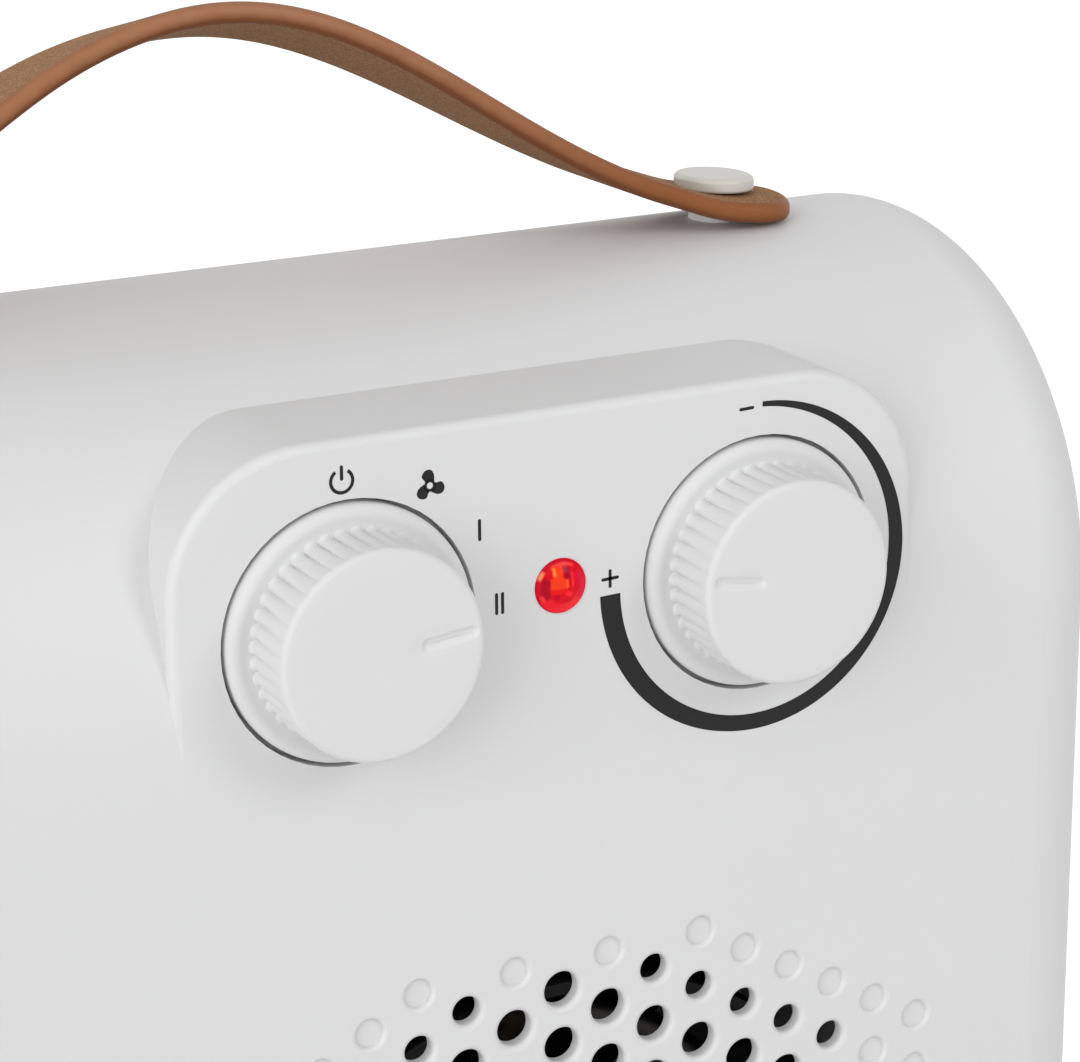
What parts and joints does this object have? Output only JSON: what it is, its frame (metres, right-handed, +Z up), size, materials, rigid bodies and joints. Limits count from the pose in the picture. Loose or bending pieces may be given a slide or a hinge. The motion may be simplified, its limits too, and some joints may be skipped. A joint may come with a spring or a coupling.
{
  "type": "fan heater",
  "caption": "Portable fan heater with a half-round top, raised panel with two ribbed knobs, red indicator, round-hole grille and a leather strap handle.",
  "frame": {"origin": "under the middle of the heater, on the surface that it stands on", "axes": "+Z up, +X to the heater's right as its front is looked at, +Y from its front to its back"},
  "size_m": [0.272, 0.127, 0.3044],
  "materials": {
    "housing": "fine spark texture, matte white",
    "knob": "smooth satin white",
    "strap": "grained brown top, burnished edges, raw underside",
    "rivet_cap": "satin off-white",
    "lens": "clear red, lit from behind",
    "lamp_glass": "clear",
    "dark_plastic": "moulded dark plastic",
    "ceramic": "unglazed",
    "mica": "pressed mica",
    "heating_wire": "oxidised",
    "copper": "enamelled wire",
    "bronze": "sintered",
    "laminations": "stacked sheet",
    "steel": "zinc plated",
    "feet": "matte"
  },
  "bodies": {
    "casing": {"front_housing": "housing", "rear_housing": "housing", "handle_strap": "strap", "strap_rivets": "rivet_cap", "rivet_washers": "steel", "rotary_switch": "dark_plastic", "thermostat_body": "ceramic", "thermostat_bimetal": "steel", "control_plate": "steel", "indicator_lens": "lens", "lamp_holder": "dark_plastic", "neon_lamp": "lamp_glass", "air_duct": "dark_plastic", "heater_frame": "mica", "heating_coils": "heating_wire", "thermal_cutout": "steel", "thermal_fuse": "ceramic", "motor_stator": "laminations", "motor_coil": "copper", "motor_bracket_front": "steel", "motor_bracket_rear": "steel", "motor_bearings": "bronze", "motor_screws": "steel", "duct_screws": "steel", "control_screws": "steel", "housing_screws": "steel", "tip_switch_body": "dark_plastic", "tip_switch_spring": "steel", "terminal_block": "ceramic", "cord_gland": "dark_plastic", "cord_clamp": "dark_plastic", "clamp_screws": "steel", "rubber_feet": "feet"},
    "switch": {"switch_knob": "knob", "switch_spindle": "steel"},
    "thermostat": {"thermostat_knob": "knob", "thermostat_spindle": "steel"},
    "fan": {"fan_impeller": "dark_plastic", "motor_shaft": "steel", "motor_rotor": "laminations"},
    "tip_plunger": {"tip_switch_plunger": "knob"}
  },
  "joints": [
    {"name": "switch_turn", "type": "hinge", "parent": "casing", "child": "switch", "pos_m": [-0.0027, -0.0515, 0.219], "axis": [0, -1, 0], "range_deg": [0, 90]},
    {"name": "thermostat_turn", "type": "hinge", "parent": "casing", "child": "thermostat", "pos_m": [0.0667, -0.0515, 0.219], "axis": [0, -1, 0], "range_deg": [0, 270]},
    {"name": "fan_spin", "type": "hinge", "parent": "casing", "child": "fan", "pos_m": [0.032, 0, 0.09232], "axis": [0, 1, 0], "continuous": true},
    {"name": "tip_plunger_slide", "type": "slide", "parent": "casing", "child": "tip_plunger", "axis": [0, 0, -1], "range_m": [0, 0.004], "stiffness_N_per_m": 40, "springref_m": 0.006}
  ]
}
